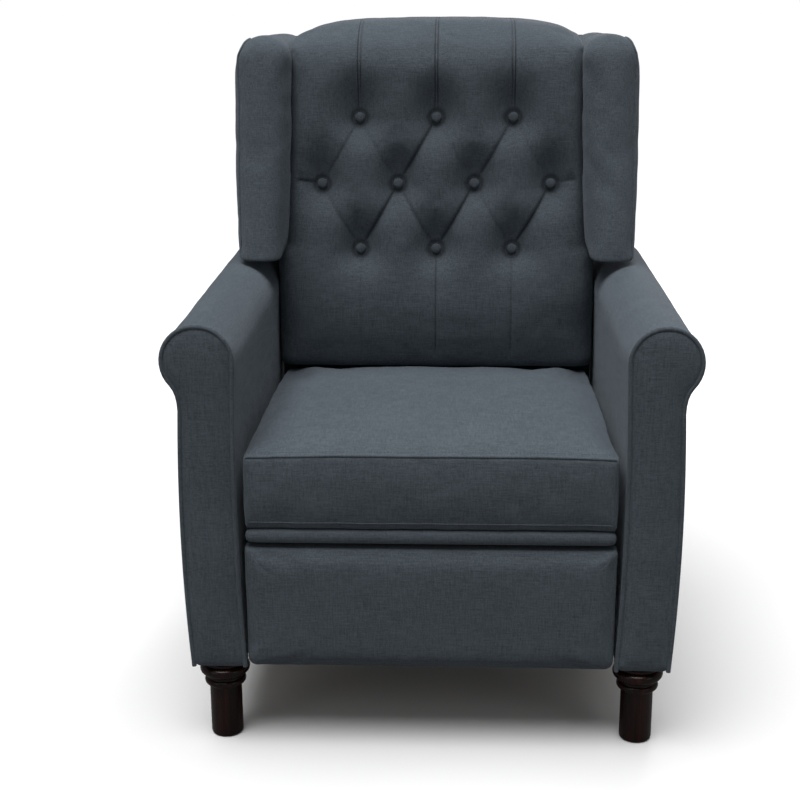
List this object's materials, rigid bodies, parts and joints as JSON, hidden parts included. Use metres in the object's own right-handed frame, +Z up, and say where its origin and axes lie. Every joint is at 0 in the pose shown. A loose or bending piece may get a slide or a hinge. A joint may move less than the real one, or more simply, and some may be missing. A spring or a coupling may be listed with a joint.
{
  "type": "recliner armchair",
  "caption": "Push-back recliner armchair with rolled arms, button-tufted wing back, fold-out footrest and turned wooden legs.",
  "frame": {"origin": "centre of the bounding box's lowest face, on the floor under the chair", "axes": "+X to the right as seen from the front, -Y towards the front, +Z up"},
  "size_m": [0.7196, 0.8284, 0.99],
  "materials": {
    "slate_fabric": "matte",
    "espresso_wood": "gloss",
    "frame_wood": "matte",
    "black_steel": "satin",
    "spring_steel": "satin",
    "dust_cloth": "matte"
  },
  "bodies": {
    "base": {"left_arm_cover": "slate_fabric", "left_arm_frame": "frame_wood", "left_mechanism_rail": "black_steel", "right_arm_cover": "slate_fabric", "right_arm_frame": "frame_wood", "right_mechanism_rail": "black_steel", "front_rail": "frame_wood", "rear_rail": "frame_wood", "rear_apron": "slate_fabric", "dust_cover": "dust_cloth", "front_left_leg": "espresso_wood", "front_right_leg": "espresso_wood", "rear_left_leg": "espresso_wood", "rear_right_leg": "espresso_wood"},
    "seat": {"seat_frame": "frame_wood", "seat_cushion": "slate_fabric", "seat_front_band": "slate_fabric", "seat_spring_1": "spring_steel", "seat_spring_2": "spring_steel", "seat_spring_3": "spring_steel", "seat_spring_4": "spring_steel", "left_seat_plate": "black_steel", "right_seat_plate": "black_steel"},
    "back": {"back_frame": "frame_wood", "back_cushion": "slate_fabric", "outside_back": "slate_fabric", "back_spring_1": "spring_steel", "back_spring_2": "spring_steel", "left_wing": "slate_fabric", "left_wing_frame": "frame_wood", "left_back_bracket": "black_steel", "right_wing": "slate_fabric", "right_wing_frame": "frame_wood", "right_back_bracket": "black_steel", "button_1_1": "slate_fabric", "button_1_2": "slate_fabric", "button_1_3": "slate_fabric", "button_2_1": "slate_fabric", "button_2_2": "slate_fabric", "button_2_3": "slate_fabric", "button_2_4": "slate_fabric", "button_3_1": "slate_fabric", "button_3_2": "slate_fabric", "button_3_3": "slate_fabric"},
    "rear_links": {"left_rear_link": "black_steel", "right_rear_link": "black_steel"},
    "front_links": {"left_front_link": "black_steel", "right_front_link": "black_steel"},
    "upper_links": {"left_upper_link": "black_steel", "right_upper_link": "black_steel"},
    "lower_links": {"left_lower_link": "black_steel", "right_lower_link": "black_steel"},
    "footrest": {"footrest_pad": "slate_fabric", "footrest_board": "frame_wood", "left_footrest_bracket": "black_steel", "right_footrest_bracket": "black_steel"}
  },
  "joints": [
    {"name": "back_recline", "type": "hinge", "parent": "base", "child": "back", "pos_m": [0, 0.18575, 0.445], "axis": [-1, 0, 0], "range_deg": [0, 30], "stiffness_Nm_per_rad": 55, "springref_deg": -45.84},
    {"name": "seat_slide", "type": "slide", "parent": "base", "child": "seat", "axis": [0, -0.9659, 0.2588], "range_m": [0, 0.0595]},
    {"name": "rear_link_swing", "type": "hinge", "parent": "seat", "child": "rear_links", "pos_m": [0, -0.32625, 0.262], "axis": [-1, 0, 0], "range_deg": [0, 148.6]},
    {"name": "front_link_swing", "type": "hinge", "parent": "seat", "child": "front_links", "pos_m": [0, -0.25661, 0.277], "axis": [-1, 0, 0], "range_deg": [0, 121.7]},
    {"name": "upper_link_swing", "type": "hinge", "parent": "rear_links", "child": "upper_links", "pos_m": [0, -0.2042, 0.14619], "axis": [1, 0, 0], "range_deg": [0, 172.4]},
    {"name": "lower_link_swing", "type": "hinge", "parent": "rear_links", "child": "lower_links", "pos_m": [0, -0.17301, 0.11658], "axis": [1, 0, 0], "range_deg": [0, 164.1]},
    {"name": "footrest_swing", "type": "hinge", "parent": "upper_links", "child": "footrest", "pos_m": [0, -0.34825, 0.2617], "axis": [-1, 0, 0], "range_deg": [0, 114]}
  ],
  "couplings": [
    {"joint": "seat_slide", "follows": "back_recline", "m_per_rad": 0.1133},
    {"joint": "rear_link_swing", "follows": "back_recline", "ratio": 4.9467},
    {"joint": "front_link_swing", "follows": "back_recline", "ratio": 4.0502},
    {"joint": "upper_link_swing", "follows": "back_recline", "ratio": 5.7385},
    {"joint": "lower_link_swing", "follows": "back_recline", "ratio": 5.4625},
    {"joint": "footrest_swing", "follows": "back_recline", "ratio": 3.7918}
  ]
}
